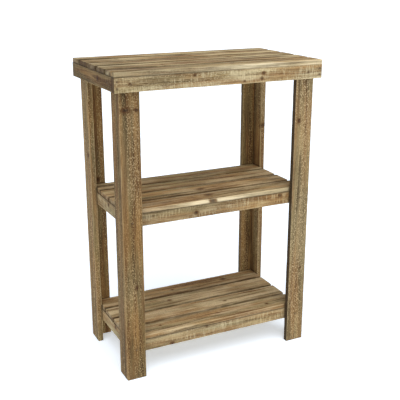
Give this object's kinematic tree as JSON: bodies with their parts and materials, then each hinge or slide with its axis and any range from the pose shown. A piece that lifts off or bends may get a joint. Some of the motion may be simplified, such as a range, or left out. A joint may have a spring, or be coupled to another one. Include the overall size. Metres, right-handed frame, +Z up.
{
  "type": "slatted shelf stand",
  "caption": "Free-standing open shelf stand with three slatted wooden tiers on L-shaped corner legs, nailed together from rough-sawn boards.",
  "frame": {"origin": "centre of the footprint, on the floor", "axes": "+X along the stand to the right, front faces -Y, +Z up"},
  "size_m": [0.612, 0.345, 0.864],
  "materials": {
    "top_wood": "rough-sawn, grey-tan dry-brushed wash",
    "apron_wood": "rough-sawn, grey-tan dry-brushed wash",
    "leg_wood": "rough-sawn, weathered brown",
    "shelf_wood": "rough-sawn, weathered brown",
    "nail_steel": "dark oxidised steel"
  },
  "bodies": {
    "root": {"leg_front_left_face_board": "leg_wood", "leg_front_left_side_board": "leg_wood", "leg_front_right_face_board": "leg_wood", "leg_front_right_side_board": "leg_wood", "leg_rear_left_face_board": "leg_wood", "leg_rear_left_side_board": "leg_wood", "leg_rear_right_face_board": "leg_wood", "leg_rear_right_side_board": "leg_wood", "top_slat_1": "top_wood", "top_slat_2": "top_wood", "top_slat_3": "top_wood", "top_slat_4": "top_wood", "top_slat_5": "top_wood", "apron_front": "apron_wood", "apron_rear": "apron_wood", "apron_left": "apron_wood", "apron_right": "apron_wood", "middle_shelf_slat_1": "shelf_wood", "middle_shelf_slat_2": "shelf_wood", "middle_shelf_slat_3": "shelf_wood", "middle_shelf_slat_4": "shelf_wood", "middle_shelf_rail_front": "shelf_wood", "middle_shelf_rail_rear": "shelf_wood", "middle_shelf_rail_left": "shelf_wood", "middle_shelf_rail_right": "shelf_wood", "bottom_shelf_slat_1": "shelf_wood", "bottom_shelf_slat_2": "shelf_wood", "bottom_shelf_slat_3": "shelf_wood", "bottom_shelf_slat_4": "shelf_wood", "bottom_shelf_rail_front": "shelf_wood", "bottom_shelf_rail_rear": "shelf_wood", "bottom_shelf_rail_left": "shelf_wood", "bottom_shelf_rail_right": "shelf_wood", "nail_front_left_corner_upper": "nail_steel", "nail_front_left_corner_lower": "nail_steel", "nail_front_left_leg_face": "nail_steel", "nail_front_left_leg_side": "nail_steel", "nail_front_left_middle_shelf": "nail_steel", "nail_front_left_bottom_shelf": "nail_steel", "nail_front_right_corner_upper": "nail_steel", "nail_front_right_corner_lower": "nail_steel", "nail_front_right_leg_face": "nail_steel", "nail_front_right_leg_side": "nail_steel", "nail_front_right_middle_shelf": "nail_steel", "nail_front_right_bottom_shelf": "nail_steel", "nail_rear_left_corner_upper": "nail_steel", "nail_rear_left_corner_lower": "nail_steel", "nail_rear_left_leg_face": "nail_steel", "nail_rear_left_leg_side": "nail_steel", "nail_rear_left_middle_shelf": "nail_steel", "nail_rear_left_bottom_shelf": "nail_steel", "nail_rear_right_corner_upper": "nail_steel", "nail_rear_right_corner_lower": "nail_steel", "nail_rear_right_leg_face": "nail_steel", "nail_rear_right_leg_side": "nail_steel", "nail_rear_right_middle_shelf": "nail_steel", "nail_rear_right_bottom_shelf": "nail_steel"}
  },
  "joints": []
}
